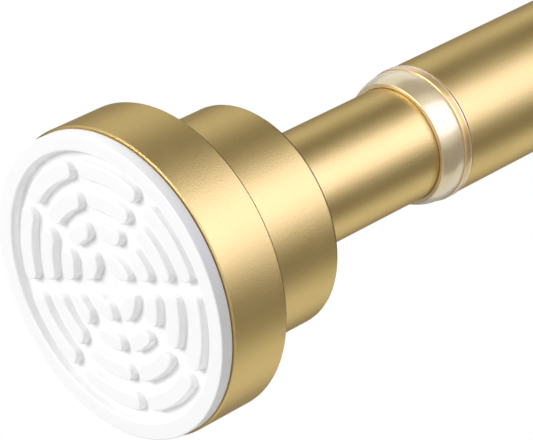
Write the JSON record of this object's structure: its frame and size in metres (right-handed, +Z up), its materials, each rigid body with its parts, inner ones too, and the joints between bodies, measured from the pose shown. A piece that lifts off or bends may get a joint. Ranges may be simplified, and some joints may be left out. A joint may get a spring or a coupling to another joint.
{
  "type": "spring tension rod",
  "caption": "Telescopic spring tension rod with a twist lock, stepped round end caps and soft treaded pads that grip two facing walls.",
  "frame": {"origin": "centre of the face of the fixed end's pad, where it meets the wall", "axes": "+X along the rod from the fixed end to the sliding end, +Z up"},
  "size_m": [0.4, 0.0558, 0.0558],
  "materials": {
    "white_silicone": "soft matt white silicone rubber",
    "gold_cover": "satin gold plate on a drawn steel shell",
    "gold_tube": "satin gold plate on welded steel tube",
    "clear_plastic": "clear polished plastic",
    "white_moulding": "moulded white plastic",
    "grey_moulding": "moulded dark grey plastic",
    "zinc_steel": "zinc plated steel",
    "spring_steel": "drawn spring wire"
  },
  "bodies": {
    "outer": {"fixed_pad": "white_silicone", "fixed_cap_cover": "gold_cover", "fixed_hub": "white_moulding", "fixed_tube_plug": "grey_moulding", "fixed_cap_screw": "zinc_steel", "fixed_screw_washer": "zinc_steel", "outer_tube": "gold_tube", "clear_collar": "clear_plastic"},
    "lock": {"expander_sleeve": "white_moulding"},
    "cone": {"cone_nut": "grey_moulding"},
    "stem": {"lock_stem": "zinc_steel", "end_nut": "zinc_steel", "tension_spring": "spring_steel"},
    "inner": {"inner_tube": "gold_tube", "guide_bush": "grey_moulding", "spring_stop": "grey_moulding", "sliding_pad": "white_silicone", "sliding_cap_cover": "gold_cover", "sliding_hub": "white_moulding", "sliding_tube_plug": "grey_moulding", "sliding_cap_screw": "zinc_steel", "sliding_screw_washer": "zinc_steel"}
  },
  "joints": [
    {"name": "telescope", "type": "slide", "parent": "outer", "child": "lock", "axis": [1, 0, 0], "range_m": [0, 0.2]},
    {"name": "twist", "type": "hinge", "parent": "lock", "child": "stem", "pos_m": [0.06, 0, 0], "axis": [-1, 0, 0], "range_deg": [0, 720]},
    {"name": "cone_travel", "type": "slide", "parent": "lock", "child": "cone", "axis": [1, 0, 0], "range_m": [0, 0.0031]},
    {"name": "press", "type": "slide", "parent": "stem", "child": "inner", "axis": [-1, 0, 0], "range_m": [0, 0.018], "stiffness_N_per_m": 2900, "springref_m": -0.008, "deforming": ["tension_spring"]}
  ],
  "couplings": [
    {"joint": "cone_travel", "follows": "twist", "m_per_rad": 0.00023873}
  ]
}
